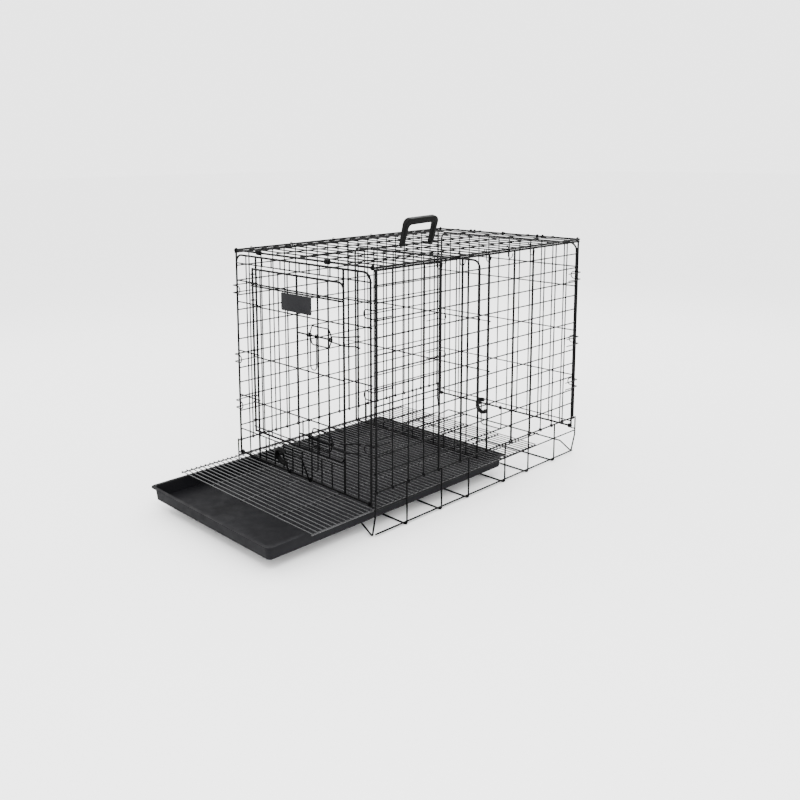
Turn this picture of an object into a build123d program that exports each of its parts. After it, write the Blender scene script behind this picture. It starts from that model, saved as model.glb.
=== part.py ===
"""Folding wire dog crate with a slide-out pan, a loose floor grid and a divider.

The crate lies along Y with its front door facing -Y, and stands on Z = 0.  X = 0 is its
middle.  The pan and the grid are drawn out of the front, and Y = 0 is the middle of the
whole object as it stands, so the crate's own middle is at Y = mid.

Every welded panel is made of straight wires that touch where they cross.  A bent wire is
made of straight runs with a short curved piece at each bend.
"""
from build123d import *
from math import cos, radians, sin
import os

# ------------------------------------------------------------------ driving dimensions
crate_width = 584.0
crate_length = 915.0
crate_height = 690.0
pan_pull = 325.0  # how far the pan is drawn out of the front
grid_pull = 206.0  # how far the floor grid is drawn out of the front

frame_r = 3.0  # frame wires
mesh_r = 1.9  # mesh wires
base_r = 2.3  # wires of the base
loop_r = 1.6  # hinge loops and eyes
hook_r = 1.4  # hooks that reach round a side panel's wires
ring_r = 1.25  # hinge rings of the top
gap = 0.02  # between wires that are welded together
clear = 0.35  # between pieces that move

pan_length = 905.0
pan_rim_width = 526.0
pan_depth = 36.0
pan_wall = 2.5
grid_length = 912.0
grid_width = 564.0

stop_r = 2.0  # wire of the pan stops
grip_r = 7.0  # moulded grips on the pan stops
end_y = crate_length / 2 - frame_r  # plane of the end panels' frames
stop_arm = frame_r + clear + stop_r
grip_arm = frame_r + clear + grip_r
rear_reach = end_y + grip_arm + grip_r  # the rearmost point, behind the crate's middle
mid = (pan_length / 2 + pan_pull - rear_reach) / 2  # the crate's middle on Y

# ------------------------------------------------------------------ derived positions
half_w = crate_width / 2
upright_x = half_w - base_r
wall_top_z = 118.0
wall_mid_z = 73.0
wall_top_x = upright_x - 2 * base_r - gap
wall_mid_x = upright_x - base_r - mesh_r - gap
base_end = crate_length / 2 - frame_r
upright_ys = [-base_end, -338, -200, -84, 84, 200, 338, base_end]
runner_x = 150.0
end_wire_z = 27.0  # raised wires at both ends that carry the pan
runner_z = end_wire_z + base_r + mesh_r + gap

side_x = 285.6  # thick side wires
thin_side_x = side_x - (frame_r - mesh_r)
row_x = side_x - frame_r - mesh_r - gap  # level side wires
side_end = 447.0
side_top_z = 685.0
row_pitch = 43.7
row_zs = [crate_height - row_pitch * k for k in range(1, 13)]
side_bottom_z = wall_top_z + base_r + clear + 2 * loop_r + gap
thick_side_ys = [-208.5, -116.5, 0, 116.5, 208.5]

end_x = 275.2
end_bottom_z = 86.0
end_top_z = 679.0
end_corner = 24.0
bar_y = end_y - frame_r - mesh_r - gap  # level wires, inside
bar_zs = [603.0, 540.0, 394.0, 260.0]
post_left, post_right = -184.0, 178.0  # both sides of the doorway
sill_z, lintel_z = 155.0, 654.0

door_y = end_y + 2 * frame_r + clear
door_left, door_right = -192.0, 185.0
door_bottom_z, door_top_z = 172.0, 645.0
door_corner = 18.0
door_bar_y = door_y + frame_r + mesh_r + gap
heavy_r = 2.4  # the pair of thick level wires near the top of the door
door_columns = [-156.0, -115.0, -76.0, -36.0, 5.0, 45.0, 86.0, 127.0]

top_z = side_top_z + 2 * frame_r + clear
top_x = side_x + clear
top_end = crate_length / 2 - 5.5
top_rows = [top_end * k / 10 for k in range(-9, 10)]
top_bar_z = top_z + 2 * mesh_r + gap
top_bars = [-191.0, -95.0, 5.0, 101.0, 195.0]

divider_x = 252.0
divider_bottom_z, divider_top_z = 84.0, 664.0
grid_bar_r, grid_row_r = 2.1, 1.5

pan_bottom_z = runner_z + mesh_r + 0.3
rim_z = pan_bottom_z + pan_depth
grid_bar_z = rim_z + 0.3 + grid_bar_r
grid_row_z = grid_bar_z + grid_bar_r + grid_row_r + gap


# ------------------------------------------------------------------ wire shapes
def rods(axis, length, radius, middles):
    """Straight parallel wires of one length, each about its middle point."""
    with Locations(*[Plane(origin=m, z_dir=axis) for m in middles]):
        Cylinder(radius, length)


def run(start, end, radius):
    """One straight wire between two points."""
    start, end = Vector(*start), Vector(*end)
    rods(end - start, (end - start).length, radius, [(start + end) * 0.5])


def arc(corner, before, after, bend, radius):
    """The curved piece of a bent wire at one corner; gives how much the runs lose."""
    turn = radians(before.get_angle(after))
    cut = bend * sin(turn / 2) / cos(turn / 2)
    inward = (after - before).normalized()
    middle = corner + inward * (bend / cos(turn / 2) - bend)
    with BuildLine() as path:
        ThreePointArc(corner - before * cut, middle, corner + after * cut)
    with BuildSketch(Plane(origin=path.line @ 0, z_dir=path.line % 0)) as section:
        Circle(radius)
    sweep(sections=section.sketch, path=path.line)
    return cut


def bent_wire(points, bends, radius):
    """A bent wire as straight runs and a curved piece at each inner point."""
    points = [Vector(*p) for p in points]
    ways = [(b - a).normalized() for a, b in zip(points, points[1:])]
    cuts = [0.0]
    for corner, before, after, bend in zip(points[1:], ways, ways[1:], bends):
        cuts.append(arc(corner, before, after, bend, radius) + gap)
    cuts.append(0.0)
    for a, b, way, first, last in zip(points, points[1:], ways, cuts, cuts[1:]):
        if (b - a).length > first + last + 1:
            run(tuple(a + way * first), tuple(b - way * last), radius)


def hooked_wire(points, bends, radius):
    """A bent wire in one solid."""
    with BuildLine() as path:
        FilletPolyline(*points, radius=bends)
    with BuildSketch(Plane(origin=path.line @ 0, z_dir=path.line % 0)) as section:
        Circle(radius)
    sweep(sections=section.sketch, path=path.line)


def eyes(axis, bore, radius, middles):
    """Wire eyes that a wire turns in, with the bore's radius."""
    with Locations(*[Plane(origin=m, z_dir=axis) for m in middles]):
        Torus(bore + radius, radius)


def save(part, name):
    part.label = name
    export_step(part, f"parts/{name}.step")


os.makedirs("parts", exist_ok=True)

# ------------------------------------------------------------------ base
foot_bend = 6.5
with BuildPart() as base_panel:
    for y in upright_ys[1:-1]:
        bent_wire(
            [
                (-upright_x, mid + y, wall_top_z + 3),
                (-upright_x, mid + y, base_r),
                (upright_x, mid + y, base_r),
                (upright_x, mid + y, wall_top_z + 3),
            ],
            [foot_bend, foot_bend],
            base_r,
        )
    for y in (upright_ys[0], upright_ys[-1]):
        bent_wire(
            [
                (-upright_x, mid + y, wall_top_z + 3),
                (-upright_x, mid + y, 62),
                (-278, mid + y, base_r),
                (-236, mid + y, end_wire_z),
                (236, mid + y, end_wire_z),
                (278, mid + y, base_r),
                (upright_x, mid + y, 62),
                (upright_x, mid + y, wall_top_z + 3),
            ],
            [8, 4, 8, 8, 4, 8],
            base_r,
        )
    both_sides = (-1, 1)
    inset = (foot_bend - 2 * base_r - gap) * cos(radians(45))
    foot_x, foot_z = upright_x - foot_bend + inset, base_r + foot_bend - inset
    rods((0, 1, 0), 2 * base_end - 10, base_r, [(s * foot_x, mid, foot_z) for s in both_sides])
    rods((0, 1, 0), 2 * base_end, mesh_r, [(s * wall_mid_x, mid, wall_mid_z) for s in both_sides])
    rods((0, 1, 0), 2 * base_end, base_r, [(s * wall_top_x, mid, wall_top_z) for s in both_sides])
    rods((0, 1, 0), 2 * base_end, mesh_r, [(s * runner_x, mid, runner_z) for s in both_sides])
    eye_x = 268.0
    eye_drop = frame_r + clear + mesh_r
    for s in both_sides:
        for t in both_sides:
            eyes((1, 0, 0), frame_r + clear, mesh_r, [(s * eye_x, mid + t * end_y, end_bottom_z)])
            run(
                (s * (eye_x + mesh_r + gap), mid + t * end_y, end_bottom_z - eye_drop),
                (s * (upright_x - base_r - gap), mid + t * end_y, end_bottom_z - eye_drop),
                mesh_r,
            )
save(base_panel.part, "base_panel")


# ------------------------------------------------------------------ side panels
def side_columns(side, thick_ys, thin_ys):
    """The standing wires of a side panel."""
    height = side_top_z - frame_r - gap - side_bottom_z
    z = side_bottom_z + height / 2
    rods((0, 0, 1), height, frame_r, [(side * side_x, mid + y, z) for y in thick_ys])
    rods((0, 0, 1), height, mesh_r, [(side * thin_side_x, mid + y, z) for y in thin_ys])


def side_rows(side):
    """The level wires of a side panel, and its thick top wire."""
    rods((0, 1, 0), 2 * side_end + 5, mesh_r, [(side * row_x, mid, z) for z in row_zs])
    rods((0, 1, 0), 2 * side_end + 9, frame_r, [(side * side_x, mid, side_top_z)])


def side_loops(side, ys):
    """Loops at the foot of a side panel's wires, round the base's top wire."""
    middles = [(side * wall_top_x, mid + y, wall_top_z) for y in ys]
    eyes((0, 1, 0), base_r + clear, loop_r, middles)


right_pitch = (side_end - 208.5) / 4
right_thin = [s * (208.5 + right_pitch * k) for s in (-1, 1) for k in (1, 2, 3)]
right_thick = [-side_end] + thick_side_ys + [side_end]
with BuildPart() as right_side_panel:
    side_columns(1, right_thick, right_thin)
    side_rows(1)
save(right_side_panel.part, "right_side_panel")

left_pitch = side_end / 10
left_thin = [left_pitch * k for k in range(-9, 10) if k]
left_thick = [-side_end, 0, side_end]
with BuildPart() as left_side_panel:
    side_columns(-1, left_thick, left_thin)
    side_rows(-1)
save(left_side_panel.part, "left_side_panel")

with BuildPart() as right_hinge_loops:
    side_loops(1, right_thick + right_thin)
save(right_hinge_loops.part, "right_hinge_loops")

with BuildPart() as left_hinge_loops:
    side_loops(-1, left_thick + left_thin)
save(left_hinge_loops.part, "left_hinge_loops")


# ------------------------------------------------------------------ finger hooks
def finger_hook(side, end, z):
    """A hairpin on a side panel that reaches round the corner in front of an end panel."""
    x = side * (side_x + frame_r + gap + loop_r)
    y = mid + end * (end_y + frame_r + clear + loop_r)
    back = mid + end * (side_end - 55)
    tip = side * 256
    upper = [(x, back, z + 11), (x, y, z + 11), (tip, y, z + 11)]
    lower = [(tip, y, z - 11), (x, y, z - 11), (x, back, z - 11)]
    hooked_wire(upper + lower, [4, 10.5, 10.5, 4], loop_r)


finger_zs = [577.0, 371.0, 231.0]
with BuildPart() as left_finger_hooks:
    for end in (-1, 1):
        for z in finger_zs:
            finger_hook(-1, end, z)
save(left_finger_hooks.part, "left_finger_hooks")

with BuildPart() as right_finger_hooks:
    for end in (-1, 1):
        for z in finger_zs:
            finger_hook(1, end, z)
save(right_finger_hooks.part, "right_finger_hooks")


# ------------------------------------------------------------------ end panels
def end_frame(end):
    """The rounded frame of an end panel and the wire at its foot."""
    y = mid + end * end_y
    foot = end_bottom_z + frame_r + gap
    bent_wire(
        [(-end_x, y, foot), (-end_x, y, end_top_z), (end_x, y, end_top_z), (end_x, y, foot)],
        [end_corner, end_corner],
        frame_r,
    )
    rods((1, 0, 0), 2 * end_x + 2 * frame_r, frame_r, [(0, y, end_bottom_z)])


def end_columns(end, xs, low, high):
    """Standing mesh wires of an end panel, between two heights."""
    y = mid + end * (bar_y + 2 * mesh_r + gap)
    rods((0, 0, 1), high - low, mesh_r, [(x, y, (low + high) / 2) for x in xs])


inner_low = end_bottom_z + frame_r + gap
inner_high = end_top_z - frame_r - gap
with BuildPart() as front_panel:
    end_frame(-1)
    front = mid - end_y
    for x in (post_left, post_right):
        run((x, front, inner_low), (x, front, inner_high), frame_r)
    end_columns(-1, [-231.0, 228.0], inner_low, inner_high)
    end_columns(-1, door_columns, inner_low, sill_z + mesh_r)
    end_columns(-1, door_columns, lintel_z - mesh_r, inner_high)
    for z in bar_zs:
        run((-end_x, mid - bar_y, z), (post_left, mid - bar_y, z), mesh_r)
        run((post_right, mid - bar_y, z), (end_x, mid - bar_y, z), mesh_r)
    rods((1, 0, 0), 2 * end_x, mesh_r, [(0, mid - bar_y, z) for z in (sill_z, lintel_z)])
save(front_panel.part, "front_panel")

rear_columns = [-end_x + 2 * end_x / 13 * k for k in range(1, 13)]
with BuildPart() as rear_panel:
    end_frame(1)
    end_columns(1, rear_columns, inner_low, inner_high)
    rear_bar_zs = [606.0, 544.0, 402.0, 257.0, 104.0]
    rods((1, 0, 0), 2 * end_x, mesh_r, [(0, mid + bar_y, z) for z in rear_bar_zs])
save(rear_panel.part, "rear_panel")

# ------------------------------------------------------------------ front door
door_plane = mid - door_y
door_bar_plane = mid - door_bar_y
with BuildPart() as front_door:
    run((door_left, door_plane, door_bottom_z - 3), (door_left, door_plane, door_top_z + 3), frame_r)
    bent_wire(
        [
            (door_left + frame_r + gap, door_plane, door_top_z),
            (door_right, door_plane, door_top_z),
            (door_right, door_plane, door_bottom_z),
            (door_left + frame_r + gap, door_plane, door_bottom_z),
        ],
        [door_corner, door_corner],
        frame_r,
    )
    column = door_top_z - door_bottom_z - 2 * frame_r - 2 * gap
    middle_z = (door_top_z + door_bottom_z) / 2
    thin_y = door_plane - (frame_r - mesh_r)
    rods((0, 0, 1), column, mesh_r, [(x, thin_y, middle_z) for x in door_columns])
    door_bars = [540.0, 394.0, 260.0, 186.0]
    door_span, door_middle = door_right - door_left, (door_right + door_left) / 2
    heavy_plane = door_plane - frame_r - heavy_r - gap
    rods((1, 0, 0), door_span, heavy_r, [(door_middle, heavy_plane, z) for z in (603.6, 598.0)])
    rods((1, 0, 0), door_span, mesh_r, [(door_middle, door_bar_plane, z) for z in door_bars])
save(front_door.part, "front_door")

hinge_zs = [630.0, 556.0, 410.0, 276.0, 204.0]
with BuildPart() as door_hinge_eyes:
    ring = frame_r + clear + 2 * loop_r + gap
    post = Vector(post_left, mid - end_y, 0)
    pin = Vector(door_left, door_plane, 0)
    way = (post - pin).normalized()
    start = pin + way * ring
    end = post - way * (frame_r + gap)
    for z in hinge_zs:
        eyes((0, 0, 1), frame_r + clear, loop_r, [(door_left, door_plane, z)])
        run((start.X, start.Y, z), (end.X, end.Y, z), loop_r)
save(door_hinge_eyes.part, "door_hinge_eyes")

plate_width, plate_height, plate_z, plate_x = 125.0, 49.0, 570.0, 2.5
plate_back = thin_y - mesh_r - gap
with BuildPart() as name_plate:
    with BuildSketch(Plane(origin=(plate_x, plate_back, plate_z), x_dir=(1, 0, 0), z_dir=(0, -1, 0))):
        RectangleRounded(plate_width, plate_height, 5)
    extrude(amount=1.6)
    fillet(name_plate.faces().sort_by(Axis.Y)[0].edges(), 0.5)
save(name_plate.part, "name_plate")

# ------------------------------------------------------------------ door latches
guide_y = thin_y - 2 * mesh_r - gap
bolt_r = 2.4
bolt_y = guide_y - mesh_r - clear - bolt_r
bolt_left, bolt_right = 20.0, 152.0
handle_left, handle_right = 66.0, 90.0
handle_drop = 92.0
latch_zs = {"upper": 495.0, "lower": 216.0}


def latch_guide(z):
    """The six-sided wire loop on the door and its two eyes for the bolt."""
    corners = [(58, 0), (68, 25), (134, 25), (146, 0), (134, -25), (68, -25)]
    with BuildLine(Plane(origin=(0, guide_y, z), x_dir=(1, 0, 0), z_dir=(0, -1, 0))) as path:
        Polyline(*corners, close=True)
        fillet(path.vertices(), 7)
    loop = path.wires()[0]
    with BuildSketch(Plane(origin=loop @ 0.25, z_dir=loop % 0.25)) as section:
        Circle(mesh_r)
    sweep(sections=section.sketch, path=loop)
    eyes((1, 0, 0), bolt_r + clear, mesh_r, [(58.5, bolt_y, z), (145.5, bolt_y, z)])


def latch_handle(z):
    """The narrow wire handle that hangs on the bolt by two eyes."""
    eyes((1, 0, 0), bolt_r + clear, loop_r, [(x, bolt_y, z) for x in (handle_left, handle_right)])
    top = z - bolt_r - clear - loop_r
    bottom = z - handle_drop
    left, right = handle_left, handle_right
    corners = [(left, bolt_y, top), (left, bolt_y, bottom), (right, bolt_y, bottom), (right, bolt_y, top)]
    hooked_wire(corners, [11, 11], loop_r)


def latch_keeper(z):
    """The narrow loop on the front panel that the bolt slides behind."""
    out = bolt_y - bolt_r - clear - mesh_r
    back = mid - (bar_y + 3 * mesh_r + gap) - mesh_r - gap
    upper = [(240, back, z + 20), (224, back, z + 18), (202, out, z + 15), (154, out, z + 10)]
    lower = [(154, out, z - 4), (202, out, z - 7), (224, back, z - 8), (240, back, z - 9)]
    hooked_wire(upper + lower, [5, 5, 5, 5, 5, 5], mesh_r)


for level, z in latch_zs.items():
    with BuildPart() as guide:
        latch_guide(z)
    save(guide.part, f"{level}_latch_guide")
    with BuildPart() as bolt:
        run((bolt_left, bolt_y, z), (bolt_right, bolt_y, z), bolt_r)
    save(bolt.part, f"{level}_latch_bolt")
    with BuildPart() as handle:
        latch_handle(z)
    save(handle.part, f"{level}_latch_handle")
    with BuildPart() as keeper:
        latch_keeper(z)
    save(keeper.part, f"{level}_latch_keeper")


# ------------------------------------------------------------------ pan stops
stop_length = 79.0


def stop_point(end, lean, x, out, down):
    """A point of a pan stop that is turned by lean degrees from hanging down."""
    turn = radians(lean)
    turned_out = out * cos(turn) + down * sin(turn)
    turned_down = down * cos(turn) - out * sin(turn)
    return (x, mid + end * (end_y + turned_out), end_bottom_z - turned_down)


def stop_bail(end, lean, left, right, arm):
    """A wire bail that turns on an end panel's foot wire."""
    y = mid + end * end_y
    eyes((1, 0, 0), frame_r + clear, stop_r, [(x, y, end_bottom_z) for x in (left, right)])
    places = [(left, 0), (left, stop_length), (right, stop_length), (right, 0)]
    bent_wire([stop_point(end, lean, x, arm, down) for x, down in places], [9, 9], stop_r)


def stop_grip(end, lean, x, arm, down):
    """A thick moulded C that is closed round the corner of a bail."""
    turns = [40, 90, 140, 190, 240, 290]
    ring = [stop_point(end, lean, x + 21 * cos(radians(a)), arm, down + 23 * sin(radians(a))) for a in turns]
    with BuildLine() as path:
        Spline(*ring)
    with BuildSketch(Plane(origin=path.line @ 0, z_dir=path.line % 0)) as section:
        Circle(grip_r)
    sweep(sections=section.sketch, path=path.line)


front_lean = 160.0
front_left, front_right = -46.0, 40.0
with BuildPart() as front_pan_stop:
    stop_bail(-1, front_lean, front_left, front_right, -stop_arm)
save(front_pan_stop.part, "front_pan_stop")

with BuildPart() as front_stop_grip:
    stop_grip(-1, front_lean, front_left + 2, -grip_arm, stop_length - 20)
save(front_stop_grip.part, "front_stop_grip")

rear_left, rear_right = -90.0, -4.0
with BuildPart() as rear_pan_stop:
    stop_bail(1, 0, rear_left, rear_right, stop_arm)
save(rear_pan_stop.part, "rear_pan_stop")

with BuildPart() as rear_stop_grip:
    stop_grip(1, 0, rear_left, grip_arm, 14)
save(rear_stop_grip.part, "rear_stop_grip")

# ------------------------------------------------------------------ top panel
with BuildPart() as top_panel:
    rods((0, 1, 0), 2 * top_end + 2 * frame_r, frame_r, [(s * top_x, mid, top_z) for s in (-1, 1)])
    inner_x = top_x - frame_r - gap
    rods((1, 0, 0), 2 * inner_x, frame_r, [(0, mid + s * top_end, top_z) for s in (-1, 1)])
    rods((1, 0, 0), 2 * inner_x, mesh_r, [(0, mid + y, top_z) for y in top_rows])
    inner_y = top_end - frame_r - gap
    rods((0, 1, 0), 2 * inner_y, mesh_r, [(x, mid, top_bar_z) for x in top_bars])
save(top_panel.part, "top_panel")

ring_ys = [-391.0, -238.0, -63.0, 108.0, 280.0]
with BuildPart() as top_hinge_rings:
    reach = frame_r + clear + gap + ring_r
    low, high = side_top_z, top_z + 1
    for y in ring_ys:
        with BuildLine() as path:
            left_leg = Line((-top_x - reach, mid + y, low), (-top_x - reach, mid + y, high))
            summit = (-top_x, mid + y, high + reach)
            crown = ThreePointArc(left_leg @ 1, summit, (-top_x + reach, mid + y, high))
            right_leg = Line(crown @ 1, (-top_x + reach, mid + y, low))
            ThreePointArc(right_leg @ 1, (-top_x, mid + y, low - reach), left_leg @ 0)
        with BuildSketch(Plane(origin=left_leg @ 0.5, z_dir=(0, 0, 1))) as section:
            Circle(ring_r)
        sweep(sections=section.sketch, path=path.line)
save(top_hinge_rings.part, "top_hinge_rings")

hook_ys = [-227.0, -133.0, -20.0, 79.0, 185.0]
with BuildPart() as top_hooks:
    x = top_x + frame_r + gap + hook_r
    inner = top_x - 2
    for y in [mid + y for y in hook_ys]:
        upper = [(inner, y, top_z + 5), (inner, y, top_z + 10), (x, y, top_z + 10)]
        lower = [(x, y, 666), (x, y + 21, 666), (x, y + 21, 679)]
        hooked_wire(upper + lower, [2.4, 2.4, 10, 10], hook_r)
save(top_hooks.part, "top_hooks")

front_clips = [-279.0, -177.0, -171.0, -165.0, 110.0, 116.0, 122.0, 279.0]
rear_clips = [-279.0, -141.0, -125.0, -6.0, 131.0, 151.0, 279.0]
with BuildPart() as top_clips:
    for end, xs in ((-1, front_clips), (1, rear_clips)):
        eyes((1, 0, 0), frame_r + gap, mesh_r, [(x, mid + end * top_end, top_z) for x in xs])
save(top_clips.part, "top_clips")

# ------------------------------------------------------------------ carry handle
handle_x, handle_y = 5.0, 9.5
handle_half = 63.5
handle_rise = 84.0
handle_tilt = 15.0  # lean towards +X, in degrees
with BuildPart() as carry_handle:
    across = (cos(radians(handle_tilt)), 0, -sin(radians(handle_tilt)))
    pivot = (handle_x, mid + handle_y, top_bar_z)
    with BuildSketch(Plane(origin=pivot, x_dir=(0, 1, 0), z_dir=across)):
        with BuildLine():
            outer_foot, outer_top = handle_half + 6, handle_half + 9
            FilletPolyline(
                (-outer_foot, 0),
                (-outer_top, handle_rise - 2),
                (outer_top, handle_rise + 2),
                (outer_foot, 0),
                radius=20,
            )
            Polyline((outer_foot, 0), (handle_half - 6, 0))
            FilletPolyline(
                (handle_half - 6, 0),
                (handle_half - 8, handle_rise - 18),
                (-handle_half + 8, handle_rise - 22),
                (-handle_half + 6, 0),
                radius=12,
            )
            Polyline((-handle_half + 6, 0), (-outer_foot, 0))
        make_face()
    extrude(amount=8.5, both=True)
    fillet(carry_handle.faces().sort_by(Axis(pivot, across)).last.edges(), 3.5)
    fillet(carry_handle.faces().sort_by(Axis(pivot, across)).first.edges(), 3.5)
    feet = [(handle_x, mid + handle_y + s * handle_half, top_bar_z) for s in (-1, 1)]
    rods((0, 1, 0), 12, 7, feet)
    with Locations(*[Plane(origin=m, z_dir=(0, 1, 0)) for m in feet]):
        Cylinder(mesh_r + clear, 30, mode=Mode.SUBTRACT)
save(carry_handle.part, "carry_handle")

# ------------------------------------------------------------------ divider
divider_y = mid + 0.4
divider_bar_y = divider_y + frame_r + mesh_r + gap
hook_zs = [495.0, 351.0]
with BuildPart() as divider_panel:
    ring = [(-divider_x, divider_bottom_z), (-divider_x, divider_top_z)]
    ring += [(divider_x, divider_top_z), (divider_x, divider_bottom_z)]
    bent_wire([(x, divider_y, z) for x, z in ring], [22, 22], frame_r)
    foot = divider_x - frame_r - gap
    run((-foot, divider_y, 87), (foot, divider_y, 87), frame_r)
    low, high = 87 + frame_r + gap, divider_top_z - frame_r - gap
    columns = [-divider_x + 2 * divider_x / 12 * k for k in range(1, 12)]
    middle = (low + high) / 2
    rods((0, 0, 1), high - low, mesh_r, [(x, divider_y + frame_r - mesh_r, middle) for x in columns])
    rods((1, 0, 0), 2 * divider_x, mesh_r, [(0, divider_bar_y, z) for z in hook_zs])
save(divider_panel.part, "divider_panel")

with BuildPart() as divider_hooks:
    for s in (-1, 1):
        for z in hook_zs:
            start, x = s * (divider_x + gap), s * (side_x + frame_r + clear + hook_r)
            y = divider_bar_y
            hooked_wire([(start, y, z), (x, y, z), (x, y - 12, z)], [3], hook_r)
save(divider_hooks.part, "divider_hooks")

# ------------------------------------------------------------------ floor grid and pan
grid_y = mid - grid_pull
grid_pitch = (grid_width - 2 * grid_bar_r) / 4
with BuildPart() as floor_grid:
    bars = [-grid_width / 2 + grid_bar_r + grid_pitch * k for k in range(5)]
    rods((0, 1, 0), grid_length, grid_bar_r, [(x, grid_y, grid_bar_z) for x in bars])
    reach = grid_length / 2 - grid_row_r
    steps = [reach - 2 * reach / 58 * k for k in range(59)]
    rods((1, 0, 0), grid_width, grid_row_r, [(0, grid_y + y, grid_row_z) for y in steps])
save(floor_grid.part, "floor_grid")

pan_y = mid - pan_pull
with BuildPart() as pan:
    with BuildSketch(Plane(origin=(0, pan_y, pan_bottom_z))):
        RectangleRounded(pan_rim_width - 24, pan_length - 24, 12)
    extrude(amount=pan_depth - 2, taper=-8)
    with BuildSketch(Plane(origin=(0, pan_y, rim_z - 2.5))):
        RectangleRounded(pan_rim_width, pan_length, 16)
    extrude(amount=2.5)
    with BuildSketch(Plane(origin=(0, pan_y, pan_bottom_z + pan_wall))):
        RectangleRounded(pan_rim_width - 29, pan_length - 29, 10)
    extrude(amount=pan_depth, taper=-8, mode=Mode.SUBTRACT)
save(pan.part, "pan")
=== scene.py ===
"""Looks of a folding wire dog crate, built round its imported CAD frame."""

import math

import bpy
from mathutils import Matrix, Vector


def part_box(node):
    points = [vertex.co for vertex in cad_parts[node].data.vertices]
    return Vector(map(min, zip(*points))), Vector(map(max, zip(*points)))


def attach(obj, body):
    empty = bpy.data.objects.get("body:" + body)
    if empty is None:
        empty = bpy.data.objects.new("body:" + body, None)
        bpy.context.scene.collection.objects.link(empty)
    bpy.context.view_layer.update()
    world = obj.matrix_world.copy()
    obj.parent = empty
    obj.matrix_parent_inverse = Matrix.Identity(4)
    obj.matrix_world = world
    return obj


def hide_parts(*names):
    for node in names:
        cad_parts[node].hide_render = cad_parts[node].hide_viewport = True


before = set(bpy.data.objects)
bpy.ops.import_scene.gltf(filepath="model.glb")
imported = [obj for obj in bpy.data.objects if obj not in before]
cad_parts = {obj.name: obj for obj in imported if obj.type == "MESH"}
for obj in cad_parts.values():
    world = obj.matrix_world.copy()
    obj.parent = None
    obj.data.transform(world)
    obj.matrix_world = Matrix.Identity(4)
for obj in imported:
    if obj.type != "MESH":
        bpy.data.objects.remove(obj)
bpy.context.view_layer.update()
MM = 0.001


def node_middle(node, axis):
    low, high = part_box(node)
    return (low[axis] + high[axis]) / 2


# ------------------------------------------------------------------ sizes, in mm
mid = node_middle("base_panel", 1) / MM
frame_r, mesh_r, base_r, loop_r, hook_r, ring_r = 3.0, 1.9, 2.3, 1.6, 1.4, 1.25
gap, clear = 0.02, 0.35
crate_height, half_width = 690.0, 292.0
upright_x = half_width - base_r
wall_top_z, wall_mid_z = 118.0, 73.0
wall_top_x = upright_x - 2 * base_r - gap
wall_mid_x = upright_x - base_r - mesh_r - gap
base_end = 454.5
upright_top_z, foot_bend, eye_x = wall_top_z + 3, 6.5, 268
upright_ys = [-base_end, -338, -200, -84, 84, 200, 338, base_end]
end_wire_z, runner_x, runner_z = 27.0, 150.0, 27.0 + base_r + mesh_r + gap
side_x = 285.6
thin_side_x = side_x - (frame_r - mesh_r)
row_x = side_x - frame_r - mesh_r - gap
side_end, side_top_z = 447.0, 685.0
row_zs = [crate_height - 43.7 * k for k in range(1, 13)]
side_bottom_z = wall_top_z + base_r + clear + 2 * loop_r
outer_thick_y, inner_thick_y = 208.5, 116.5
thick_side_ys = [-outer_thick_y, -inner_thick_y, 0, inner_thick_y, outer_thick_y]
end_y, end_x, end_bottom_z, end_top_z = 457.5 - frame_r, 275.2, 86.0, 679.0
bar_y = end_y - frame_r - mesh_r - gap
column_y = bar_y + 2 * mesh_r + gap
bar_zs = [603.0, 540.0, 394.0, 260.0]
rear_bar_zs = [606.0, 544.0, 402.0, 257.0, 104.0]
post_left, post_right = -184.0, 178.0
left_column, right_column = -231.0, 228.0
sill_z, lintel_z = 155.0, 654.0
door_y = end_y + 2 * frame_r + clear
door_left, door_right, door_bottom_z, door_top_z = -192.0, 185.0, 172.0, 645.0
door_bar_y = door_y + frame_r + mesh_r + gap
heavy_r = 2.4
door_columns = [-156.0, -115.0, -76.0, -36.0, 5.0, 45.0, 86.0, 127.0]
top_z, top_x, top_end = side_top_z + 2 * frame_r + clear, side_x + clear, 452.0
top_bar_z = top_z + 2 * mesh_r + gap
divider_x, divider_top_z, divider_y = 252.0, 664.0, 0.4
divider_bar_y = divider_y + frame_r + mesh_r + gap
divider_foot_z = 87
thin_y = -(door_y + frame_r - mesh_r)
guide_y = thin_y - 2 * mesh_r - gap
bolt_r = 2.4
bolt_y = guide_y - mesh_r - clear - bolt_r
latch_zs = {"upper": 495.0, "lower": 216.0}
handle_xs, handle_drop = (66, 90), 92
stop_r, stop_length = 2.0, 79.0
stop_arm = frame_r + clear + stop_r
grip_r = 7.0
grip_arm = frame_r + clear + grip_r
grip_wide, grip_tall = 21, 23


# ------------------------------------------------------------------ materials
def tree_of(name):
    material = bpy.data.materials.new(name)
    material.use_nodes = True
    nodes, links = material.node_tree.nodes, material.node_tree.links
    shader = nodes["Principled BSDF"]
    coords = nodes.new("ShaderNodeTexCoord")
    return material, nodes, links, shader, coords


def noise(nodes, links, coords, scale, detail=4.0, stretch=(1, 1, 1)):
    mapping = nodes.new("ShaderNodeMapping")
    mapping.inputs["Scale"].default_value = stretch
    links.new(coords.outputs["Object"], mapping.inputs["Vector"])
    texture = nodes.new("ShaderNodeTexNoise")
    texture.inputs["Scale"].default_value = scale
    texture.inputs["Detail"].default_value = detail
    links.new(mapping.outputs["Vector"], texture.inputs["Vector"])
    return texture.outputs["Fac"]


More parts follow.
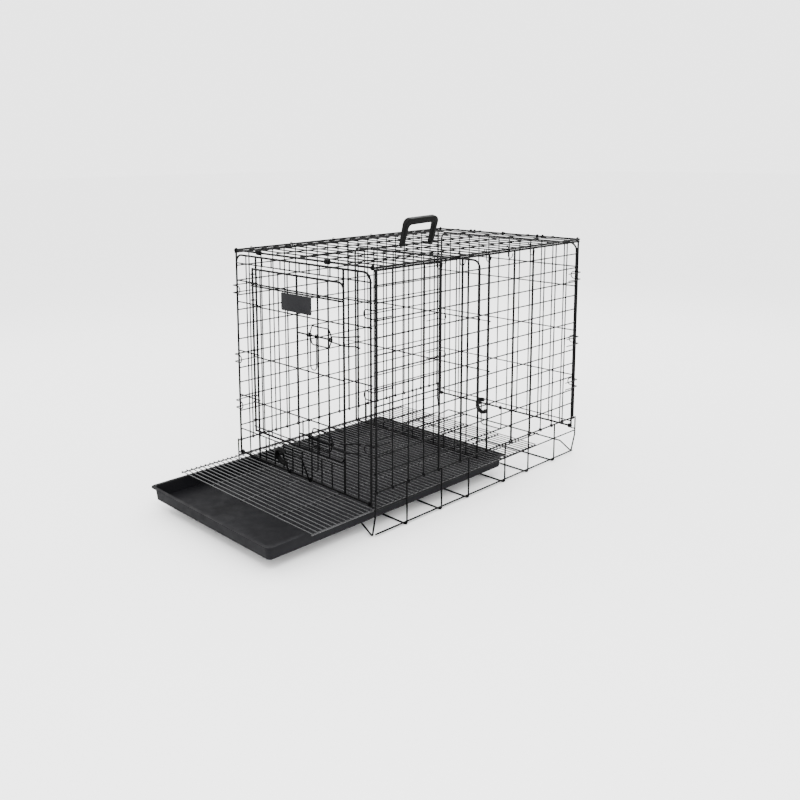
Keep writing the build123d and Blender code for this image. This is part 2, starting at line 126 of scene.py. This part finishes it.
def ramp(nodes, links, source, low, high, at=(0.35, 0.65)):
    node = nodes.new("ShaderNodeValToRGB")
    node.color_ramp.elements[0].position = at[0]
    node.color_ramp.elements[1].position = at[1]
    node.color_ramp.elements[0].color = (*low, 1)
    node.color_ramp.elements[1].color = (*high, 1)
    links.new(source, node.inputs["Fac"])
    return node.outputs["Color"]


def spread(nodes, links, source, low, high):
    node = nodes.new("ShaderNodeMapRange")
    node.inputs["From Min"].default_value = 0.3
    node.inputs["From Max"].default_value = 0.7
    node.inputs["To Min"].default_value = low
    node.inputs["To Max"].default_value = high
    links.new(source, node.inputs["Value"])
    return node.outputs["Result"]


def bump(nodes, links, shader, source, strength, distance):
    node = nodes.new("ShaderNodeBump")
    node.inputs["Strength"].default_value = strength
    node.inputs["Distance"].default_value = distance
    links.new(source, node.inputs["Height"])
    links.new(node.outputs["Normal"], shader.inputs["Normal"])


def coated_wire(name, dark, light, rough, gloss):
    """Black coating on steel wire: faint mottling, a little orange peel, dull rubbed spots."""
    material, nodes, links, shader, coords = tree_of(name)
    broad = noise(nodes, links, coords, 14.0, 5.0)
    links.new(ramp(nodes, links, broad, dark, light), shader.inputs["Base Color"])
    fine = noise(nodes, links, coords, 420.0, 2.0)
    patches = noise(nodes, links, coords, 60.0)
    links.new(spread(nodes, links, patches, *rough), shader.inputs["Roughness"])
    bump(nodes, links, shader, fine, 0.12, 0.0003)
    shader.inputs["Metallic"].default_value = 0.0
    shader.inputs["Specular IOR Level"].default_value = gloss
    return material


def moulded(name, dark, light, rough, grain, gloss):
    """Moulded plastic with a fine grain and slight scuffs."""
    material, nodes, links, shader, coords = tree_of(name)
    broad = noise(nodes, links, coords, 5.0, 6.0, (1, 0.35, 1))
    links.new(ramp(nodes, links, broad, dark, light), shader.inputs["Base Color"])
    scuffs = noise(nodes, links, coords, 34.0, 6.0)
    links.new(spread(nodes, links, scuffs, *rough), shader.inputs["Roughness"])
    bump(nodes, links, shader, noise(nodes, links, coords, grain, 3.0), 0.25, 0.0004)
    shader.inputs["Specular IOR Level"].default_value = gloss
    return material


wire_black = coated_wire("coated wire", (0.001, 0.001, 0.0012), (0.003, 0.003, 0.0033), (0.34, 0.5), 0.035)
# The floor grid uses the same black coating as the other wires, with a lighter base colour. That lift is a
# painted highlight standing in for the glints on the grid wires, added on top of the real gloss.
grid_coat_painted_sheen = coated_wire("grid wire with painted sheen", (0.005, 0.005, 0.0055), (0.02, 0.02, 0.0215), (0.17, 0.3), 0.32)
jet = (0.002, 0.002, 0.002)
pan_dark, pan_light = (0.0035, 0.0035, 0.0042), (0.0065, 0.0065, 0.0075)
pan_black = moulded("pan plastic", pan_dark, pan_light, (0.5, 0.68), 700.0, 0.05)
handle_black = moulded("handle plastic", jet, (0.004, 0.004, 0.004), (0.42, 0.56), 900.0, 0.05)
grip_black = moulded("grip plastic", jet, (0.004, 0.004, 0.0044), (0.44, 0.58), 900.0, 0.05)
plate_dark = coated_wire("plate coat", (0.004, 0.004, 0.005), (0.008, 0.008, 0.009), (0.38, 0.52), 0.06)


# ------------------------------------------------------------------ wire shapes
def rounded(points, bends):
    """The points of a bent wire's middle line, with a round bend at each inner point."""
    points = [Vector(p) for p in points]
    line = [points[0]]
    for before, corner, after, bend in zip(points, points[1:], points[2:], bends):
        first, second = (before - corner).normalized(), (after - corner).normalized()
        half = first.angle(second) / 2
        if bend <= 0 or half > math.radians(89.5):
            line.append(corner)
            continue
        cut = bend / math.tan(half)
        middle = corner + (first + second).normalized() * (bend / math.sin(half))
        start, end = corner + first * cut - middle, corner + second * cut - middle
        turn = start.angle(end)
        normal = start.cross(end).normalized()
        steps = max(4, int(turn / math.radians(15)))
        for k in range(steps + 1):
            line.append(middle + Matrix.Rotation(turn * k / steps, 3, normal) @ start)
    line.append(points[-1])
    return line


class Wires:
    """A set of round wires that move together, as one curve object for each thickness."""

    def __init__(self, name, body, material, slot, nodes):
        self.name, self.body, self.material, self.slot, self.nodes = name, body, material, slot, nodes
        self.lines, self.blobs = {}, []

    def add(self, points, radius, closed=False):
        self.lines.setdefault(radius, []).append(([Vector(p) for p in points], closed))

    def bent(self, points, bends, radius):
        self.add(rounded(points, bends), radius)

    def ring(self, centre, axis, ring_r, radius, steps=20):
        axis = Vector(axis).normalized()
        side = axis.orthogonal().normalized()
        turns = [Matrix.Rotation(math.tau * k / steps, 3, axis) for k in range(steps)]
        self.add([Vector(centre) + turn @ side * ring_r for turn in turns], radius, closed=True)

    def weld(self, point, size):
        """A small round blob of metal where two wires are welded."""
        self.blobs.append((Vector(point), size))

    def piece_name(self, radius):
        return f"{self.name} {radius} mm".replace(" ", "_")

    def build(self):
        made = []
        for radius, lines in self.lines.items():
            curve = bpy.data.curves.new(self.piece_name(radius), "CURVE")
            curve.dimensions = "3D"
            curve.bevel_depth = radius * MM
            curve.bevel_resolution = 4
            curve.use_fill_caps = True
            for points, closed in lines:
                spline = curve.splines.new("POLY")
                spline.points.add(len(points) - 1)
                for place, point in zip(spline.points, points):
                    place.co = (point.x * MM, (point.y + mid) * MM, point.z * MM, 1)
                spline.use_cyclic_u = closed
                spline.use_smooth = True
            curve.materials.append(self.material)
            thing = bpy.data.objects.new(self.piece_name(radius), curve)
            bpy.context.scene.collection.objects.link(thing)
            made.append(thing)
        if self.blobs:
            made.append(blob_mesh(f"{self.name} welds".replace(" ", "_"), self.blobs, self.material))
        for thing in made:
            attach(thing, self.body)
        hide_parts(*self.nodes)


def blob_mesh(name, blobs, material):
    """Small round blobs, one at each weld."""
    mesh = bpy.data.meshes.new(name)
    verts, faces = [], []
    rings, around = 4, 6
    for centre, size in blobs:
        start = len(verts)
        for i in range(1, rings):
            polar = math.pi * i / rings
            for k in range(around):
                turn = math.tau * k / around
                wide = math.sin(polar)
                offset = Vector((wide * math.cos(turn), wide * math.sin(turn), math.cos(polar)))
                verts.append((centre + offset * size + Vector((0, mid, 0))) * MM)
        top, bottom = len(verts), len(verts) + 1
        verts.append((centre + Vector((0, mid, size))) * MM)
        verts.append((centre + Vector((0, mid, -size))) * MM)
        for i in range(rings - 2):
            for k in range(around):
                a, b = start + i * around + k, start + i * around + (k + 1) % around
                faces.append((a, a + around, b + around, b))
        for k in range(around):
            a, b = start + k, start + (k + 1) % around
            faces.append((a, b, top))
            last = start + (rings - 2) * around
            faces.append((last + (k + 1) % around, last + k, bottom))
    mesh.from_pydata(verts, [], faces)
    mesh.shade_smooth()
    mesh.materials.append(material)
    thing = bpy.data.objects.new(name, mesh)
    bpy.context.scene.collection.objects.link(thing)
    return thing


def wires(name, body, *nodes, material=None, slot="wire"):
    """A set of wires that ride on a body and stand for its CAD nodes."""
    return Wires(name, body, material or wire_black, slot, nodes)


# ------------------------------------------------------------------ base
base = wires("base wires", "base", "base_panel")
for y in upright_ys[1:-1]:
    x, z = upright_x, upright_top_z
    base.bent([(-x, y, z), (-x, y, base_r), (x, y, base_r), (x, y, z)], [foot_bend] * 2, base_r)
for y in (upright_ys[0], upright_ys[-1]):
    half = [(-upright_x, y, upright_top_z), (-upright_x, y, 62), (-278, y, base_r), (-236, y, end_wire_z)]
    other = [(-x, yy, z) for x, yy, z in reversed(half)]
    base.bent(half + other, [8, 4, 8, 8, 4, 8], base_r)
for s in (-1, 1):
    inset = (foot_bend - 2 * base_r - gap) * math.cos(math.radians(45))
    foot_x, foot_z = upright_x - foot_bend + inset, base_r + foot_bend - inset
    base.add([(s * foot_x, 5 - base_end, foot_z), (s * foot_x, base_end - 5, foot_z)], base_r)
    base.add([(s * wall_mid_x, -base_end, wall_mid_z), (s * wall_mid_x, base_end, wall_mid_z)], mesh_r)
    base.add([(s * wall_top_x, -base_end, wall_top_z), (s * wall_top_x, base_end, wall_top_z)], base_r)
    base.add([(s * runner_x, -base_end, runner_z), (s * runner_x, base_end, runner_z)], mesh_r)
    for y in upright_ys:
        base.weld((s * (upright_x - 2), y, wall_mid_z), 2.0)
        base.weld((s * (upright_x - 2), y, wall_top_z), 2.2)
    for t in (-1, 1):
        base.ring((s * eye_x, t * end_y, end_bottom_z), (1, 0, 0), frame_r + clear + mesh_r, mesh_r)
        z = end_bottom_z - frame_r - clear - mesh_r
        base.add([(s * eye_x, t * end_y, z), (s * (eye_x + 20), t * end_y, z)], mesh_r)
base.build()

# ------------------------------------------------------------------ side panels
right_pitch = (side_end - outer_thick_y) / 4
right_thin = [s * (outer_thick_y + right_pitch * k) for s in (-1, 1) for k in (1, 2, 3)]
right_thick = [-side_end] + thick_side_ys + [side_end]
left_thin = [side_end / 10 * k for k in range(-9, 10) if k]
left_thick = [-side_end, 0, side_end]
for side, label, thick, thin in ((1, "right", right_thick, right_thin), (-1, "left", left_thick, left_thin)):
    panel = wires(f"{label} side", "base", f"{label}_side_panel", f"{label}_hinge_loops")
    for y in thick:
        panel.add([(side * side_x, y, side_bottom_z), (side * side_x, y, side_top_z)], frame_r)
    for y in thin:
        panel.add([(side * thin_side_x, y, side_bottom_z), (side * thin_side_x, y, side_top_z)], mesh_r)
    for y in thick + thin:
        panel.ring((side * wall_top_x, y, wall_top_z), (0, 1, 0), base_r + clear + loop_r, loop_r)
        for z in row_zs:
            panel.weld((side * (row_x + 1.4), y, z), 1.7)
    for z in row_zs:
        panel.add([(side * row_x, -side_end - 2.5, z), (side * row_x, side_end + 2.5, z)], mesh_r)
    rail_end = side_end + 4.5
    panel.add([(side * side_x, -rail_end, side_top_z), (side * side_x, rail_end, side_top_z)], frame_r)
    panel.build()
    fingers = wires(f"{label} fingers", "base", f"{label}_finger_hooks")
    x, y, tip = side * (side_x + frame_r + gap + loop_r), end_y + frame_r + clear + loop_r, side * 256
    for end in (-1, 1):
        back = end * (side_end - 55)
        for z in (577.0, 371.0, 231.0):
            upper = [(x, back, z + 11), (x, end * y, z + 11), (tip, end * y, z + 11)]
            lower = [(tip, end * y, z - 11), (x, end * y, z - 11), (x, back, z - 11)]
            fingers.bent(upper + lower, [4, 10.5, 10.5, 4], loop_r)
    fingers.build()


# ------------------------------------------------------------------ end panels
def end_frame(panel, end):
    y, foot = end * end_y, end_bottom_z
    corners = [(-end_x, y, foot), (-end_x, y, end_top_z), (end_x, y, end_top_z), (end_x, y, foot)]
    panel.bent(corners, [24, 24], frame_r)
    panel.add([(-end_x - 3, y, end_bottom_z), (end_x + 3, y, end_bottom_z)], frame_r)


def standing(panel, end, xs, low, high):
    for x in xs:
        panel.add([(x, end * column_y, low), (x, end * column_y, high)], mesh_r)


front = wires("front panel", "front_panel", "front_panel", "door_hinge_eyes")
end_frame(front, -1)
for x in (post_left, post_right):
    front.add([(x, -end_y, end_bottom_z), (x, -end_y, end_top_z)], frame_r)
standing(front, -1, [left_column, right_column], end_bottom_z, end_top_z)
standing(front, -1, door_columns, end_bottom_z, sill_z + 1.5)
standing(front, -1, door_columns, lintel_z - 1.5, end_top_z)
for z in bar_zs:
    front.add([(-end_x, -bar_y, z), (post_left, -bar_y, z)], mesh_r)
    front.add([(post_right, -bar_y, z), (end_x, -bar_y, z)], mesh_r)
    for x in (-end_x, left_column, post_left, post_right, right_column, end_x):
        front.weld((x, -bar_y - 1.5, z), 1.8)
for z in (sill_z, lintel_z):
    front.add([(-end_x, -bar_y, z), (end_x, -bar_y, z)], mesh_r)
    for x in [-end_x, left_column, post_left, *door_columns, post_right, right_column, end_x]:
        front.weld((x, -bar_y - 1.5, z), 1.8)
post, pin = Vector((post_left, -end_y, 0)), Vector((door_left, -door_y, 0))
way = (post - pin).normalized()
for z in (630.0, 556.0, 410.0, 276.0, 204.0):
    front.ring((door_left, -door_y, z), (0, 0, 1), frame_r + clear + loop_r, loop_r)
    up = Vector((0, 0, z))
    front.add([pin + way * 5.5 + up, post - way * 2 + up], loop_r)
front.build()

rear = wires("rear panel", "rear_panel", "rear_panel")
end_frame(rear, 1)
rear_columns = [-end_x + 2 * end_x / 13 * k for k in range(1, 13)]
standing(rear, 1, rear_columns, end_bottom_z, end_top_z)
for z in rear_bar_zs:
    rear.add([(-end_x, bar_y, z), (end_x, bar_y, z)], mesh_r)
    for x in [-end_x, *rear_columns, end_x]:
        rear.weld((x, bar_y + 1.5, z), 1.8)
rear.build()

# ------------------------------------------------------------------ front door
door = wires("front door", "front_door", "front_door")
door.add([(door_left, -door_y, door_bottom_z - 3), (door_left, -door_y, door_top_z + 3)], frame_r)
corners = [(door_left, -door_y, door_top_z), (door_right, -door_y, door_top_z)]
corners += [(door_right, -door_y, door_bottom_z), (door_left, -door_y, door_bottom_z)]
door.bent(corners, [18, 18], frame_r)
for x in door_columns:
    door.add([(x, thin_y, door_bottom_z), (x, thin_y, door_top_z)], mesh_r)
heavy_y = -door_y - frame_r - heavy_r - gap
for z in (603.6, 598.0):
    door.add([(door_left, heavy_y, z), (door_right, heavy_y, z)], heavy_r)
for z in (540.0, 394.0, 260.0, 186.0):
    door.add([(door_left, -door_bar_y, z), (door_right, -door_bar_y, z)], mesh_r)
    for x in [door_left, *door_columns, door_right]:
        door.weld((x, -door_bar_y + 1.5, z), 1.8)
door.build()

for level, z in latch_zs.items():
    guide = wires(f"{level} latch guide", "front_door", f"{level}_latch_guide")
    hexagon = [(58, 0), (68, 25), (134, 25), (146, 0), (134, -25), (68, -25)]
    ring = [(x, guide_y, z + dz) for x, dz in hexagon]
    closed = rounded([ring[-1], *ring, ring[0]], [7] * 6)[1:-1]
    guide.add(closed, mesh_r, closed=True)
    for x in (58.5, 145.5):
        guide.ring((x, bolt_y, z), (1, 0, 0), bolt_r + clear + mesh_r, mesh_r)
    guide.build()
    bolt = wires(f"{level} latch bolt", f"{level}_bolt", f"{level}_latch_bolt")
    bolt.add([(20, bolt_y, z), (152, bolt_y, z)], bolt_r)
    bolt.build()
    bail = wires(f"{level} latch handle", f"{level}_bolt_handle", f"{level}_latch_handle")
    for x in handle_xs:
        bail.ring((x, bolt_y, z), (1, 0, 0), bolt_r + clear + loop_r, loop_r)
    (left, right), low, high = handle_xs, z - handle_drop, z - 4.3
    corners = [(left, bolt_y, high), (left, bolt_y, low), (right, bolt_y, low), (right, bolt_y, high)]
    bail.bent(corners, [11, 11], loop_r)
    bail.build()
    keeper = wires(f"{level} latch keeper", "front_panel", f"{level}_latch_keeper")
    out, back = bolt_y - bolt_r - clear - mesh_r, -(column_y + 2 * mesh_r + gap)
    upper = [(240, back, z + 20), (224, back, z + 18), (202, out, z + 15), (154, out, z + 10)]
    lower = [(154, out, z - 4), (202, out, z - 7), (224, back, z - 8), (240, back, z - 9)]
    keeper.bent(upper + lower, [5] * 6, mesh_r)
    keeper.build()


# ------------------------------------------------------------------ pan stops
def stop_point(end, lean, x, out, down):
    """A point of a pan stop that is turned by lean degrees from hanging down."""
    turn = math.radians(lean)
    turned_out = out * math.cos(turn) + down * math.sin(turn)
    turned_down = down * math.cos(turn) - out * math.sin(turn)
    return (x, end * (end_y + turned_out), end_bottom_z - turned_down)


def pan_stop(label, end, lean, left, right, sign, grip_x, grip_down):
    body = f"{label}_pan_stop"
    stop = wires(f"{label} pan stop", body, f"{label}_pan_stop")
    arm = sign * stop_arm
    for x in (left, right):
        stop.ring((x, end * end_y, end_bottom_z), (1, 0, 0), stop_arm, stop_r)
    places = [(left, 0), (left, stop_length), (right, stop_length), (right, 0)]
    stop.bent([stop_point(end, lean, x, arm, down) for x, down in places], [9, 9], stop_r)
    stop.build()
    grip = wires(f"{label} stop grip", body, f"{label}_stop_grip", material=grip_black, slot="grip")
    turns = [math.radians(40 + 10 * k) for k in range(26)]
    places = [(grip_x + grip_wide * math.cos(a), grip_down + grip_tall * math.sin(a)) for a in turns]
    grip.add([stop_point(end, lean, x, sign * grip_arm, down) for x, down in places], grip_r)
    grip.build()


pan_stop("front", -1, 160.0, -46.0, 40.0, -1, -44.0, stop_length - 20)
pan_stop("rear", 1, 0.0, -90.0, -4.0, 1, -90.0, 14)

# ------------------------------------------------------------------ top panel
top = wires("top panel", "top_panel", "top_panel")
loop = [(x * top_x, y * top_end, top_z) for x, y in ((-1, -1), (1, -1), (1, 1), (-1, 1))]
for a, b in zip(loop, loop[1:] + loop[:1]):
    top.add([a, b], frame_r)
top_rows = [top_end * k / 10 for k in range(-9, 10)]
top_bars = [-191.0, -95.0, 5.0, 101.0, 195.0]
for y in top_rows:
    top.add([(-top_x, y, top_z), (top_x, y, top_z)], mesh_r)
for x in top_bars:
    top.add([(x, -449, top_bar_z), (x, 449, top_bar_z)], mesh_r)
    for y in top_rows:
        top.weld((x, y, top_z + 1.5), 1.7)
top.build()

# ------------------------------------------------------------------ top hinge rings and hooks
rings = wires("top hinge rings", "base", "top_hinge_rings")
reach = frame_r + clear + gap + ring_r
for y in (-391.0, -238.0, -63.0, 108.0, 280.0):
    low, high = side_top_z, top_z + 1
    line = []
    for k in range(13):
        turn = math.pi * k / 12
        line.append((-top_x + reach * math.cos(turn), y, high + reach * math.sin(turn)))
    for k in range(13):
        turn = math.pi + math.pi * k / 12
        line.append((-top_x + reach * math.cos(turn), y, low + reach * math.sin(turn)))
    rings.add(line, ring_r, closed=True)
rings.build()

hooks = wires("top hooks", "top_panel", "top_hooks")
for y in (-227.0, -133.0, -20.0, 79.0, 185.0):
    x, inner = top_x + frame_r + gap + hook_r, top_x - 2
    upper = [(inner, y, top_z + 5), (inner, y, top_z + 10), (x, y, top_z + 10)]
    lower = [(x, y, 666), (x, y + 21, 666), (x, y + 21, 679)]
    hooks.bent(upper + lower, [2.4, 2.4, 10, 10], hook_r)
hooks.build()

# ------------------------------------------------------------------ divider
divider = wires("divider", "divider", "divider_panel", "divider_hooks")
low, high, y = 84.0, divider_top_z, divider_y
corners = [(-divider_x, y, low), (-divider_x, y, high), (divider_x, y, high), (divider_x, y, low)]
divider.bent(corners, [22, 22], frame_r)
divider.add([(-divider_x, y, divider_foot_z), (divider_x, y, divider_foot_z)], frame_r)
columns = [-divider_x + 42 * k for k in range(1, 12)]
for x in columns:
    divider.add([(x, y + frame_r - mesh_r, divider_foot_z), (x, y + frame_r - mesh_r, high)], mesh_r)
for z in (495.0, 351.0):
    divider.add([(-divider_x, divider_bar_y, z), (divider_x, divider_bar_y, z)], mesh_r)
    for x in [-divider_x, *columns, divider_x]:
        divider.weld((x, y + 2.5, z), 1.8)
    for s in (-1, 1):
        x = s * (side_x + frame_r + clear + hook_r)
        hook = [(s * divider_x, divider_bar_y, z), (x, divider_bar_y, z), (x, divider_bar_y - 12, z)]
        divider.bent(hook, [3], hook_r)
divider.build()

# ------------------------------------------------------------------ wire wraps on the top
front_clips = [-279.0, -177.0, -171.0, -165.0, 110.0, 116.0, 122.0, 279.0]
rear_clips = [-279.0, -141.0, -125.0, -6.0, 131.0, 151.0, 279.0]
clips = wires("top clips", "top_panel", "top_clips")
for end, xs in ((-1, front_clips), (1, rear_clips)):
    for x in xs:
        clips.ring((x, end * top_end, top_z), (1, 0, 0), frame_r + gap + mesh_r, mesh_r)
clips.build()

# ------------------------------------------------------------------ floor grid
grid_low, grid_high = [[c / MM for c in corner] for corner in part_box("floor_grid")]
grid = wires("floor grid", "floor_grid", "floor_grid", material=grid_coat_painted_sheen)
bar_r, row_r = 2.1, 1.5
bar_z, row_z = grid_low[2] + bar_r, grid_high[2] - row_r
near, far = grid_low[1] - mid, grid_high[1] - mid
grid_half = grid_high[0]
bars = [-grid_half + bar_r + (grid_half - bar_r) / 2 * k for k in range(5)]
for x in bars:
    grid.add([(x, near, bar_z), (x, far, bar_z)], bar_r)
for k in range(59):
    y = near + row_r + (far - near - 2 * row_r) / 58 * k
    grid.add([(-grid_half, y, row_z), (grid_half, y, row_z)], row_r)
    for x in bars:
        grid.weld((x, y, row_z - 1.4), 1.8)
grid.build()

# ------------------------------------------------------------------ carried-over CAD nodes
finishes = {"pan": pan_black, "carry_handle": handle_black, "name_plate": plate_dark}
for name, material in finishes.items():
    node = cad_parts[name]
    node.data.materials.clear()
    node.data.materials.append(material)

# ------------------------------------------------------------------ stage, light and camera
bpy.ops.mesh.primitive_plane_add(size=60, location=(0, 0, -0.0005))
floor = bpy.context.object
floor_material, _, _, shader, _ = tree_of("floor")
shader.inputs["Base Color"].default_value = (0.95, 0.95, 0.95, 1)
shader.inputs["Roughness"].default_value = 0.9
floor.data.materials.append(floor_material)

world = bpy.data.worlds.new("studio")
bpy.context.scene.world = world
world.use_nodes = True
world.node_tree.nodes["Background"].inputs["Color"].default_value = (1, 1, 1, 1)
world.node_tree.nodes["Background"].inputs["Strength"].default_value = 3.2


def area_light(name, place, aim, size, power):
    light = bpy.data.lights.new(name, "AREA")
    light.shape, light.size, light.energy = "DISK", size, power
    thing = bpy.data.objects.new(name, light)
    thing.location = place
    thing.rotation_euler = (Vector(aim) - Vector(place)).to_track_quat("-Z", "Y").to_euler()
    bpy.context.scene.collection.objects.link(thing)


middle = (0, mid * MM, 0.3)
area_light("key", (1.6, -1.6, 2.6), middle, 1.6, 90)
area_light("fill", (-2.4, -0.8, 1.8), middle, 2.2, 22)
area_light("rim", (-0.6, 2.6, 2.4), middle, 1.6, 40)

azimuth, elevation, roll = math.radians(47.82), math.radians(8.61), math.radians(-0.64)
level = math.cos(elevation)
toward = Vector((math.sin(azimuth) * level, -math.cos(azimuth) * level, math.sin(elevation)))
distance = 2.661
target = Vector((-200.5, mid - 154.5, 576.6)) * MM
camera_data = bpy.data.cameras.new("camera")
camera = bpy.data.objects.new("camera", camera_data)
bpy.context.scene.collection.objects.link(camera)
bpy.context.scene.camera = camera
camera.location = target + toward * distance
rolled = Matrix.Rotation(roll, 3, "Z").to_quaternion()
camera.rotation_euler = (toward.to_track_quat("Z", "Y") @ rolled).to_euler()
camera_data.sensor_width = 36
camera_data.lens = 38.87
camera_data.shift_x, camera_data.shift_y = 0.0867, -0.149
camera_data.clip_end = 100
camera_data.dof.use_dof = False
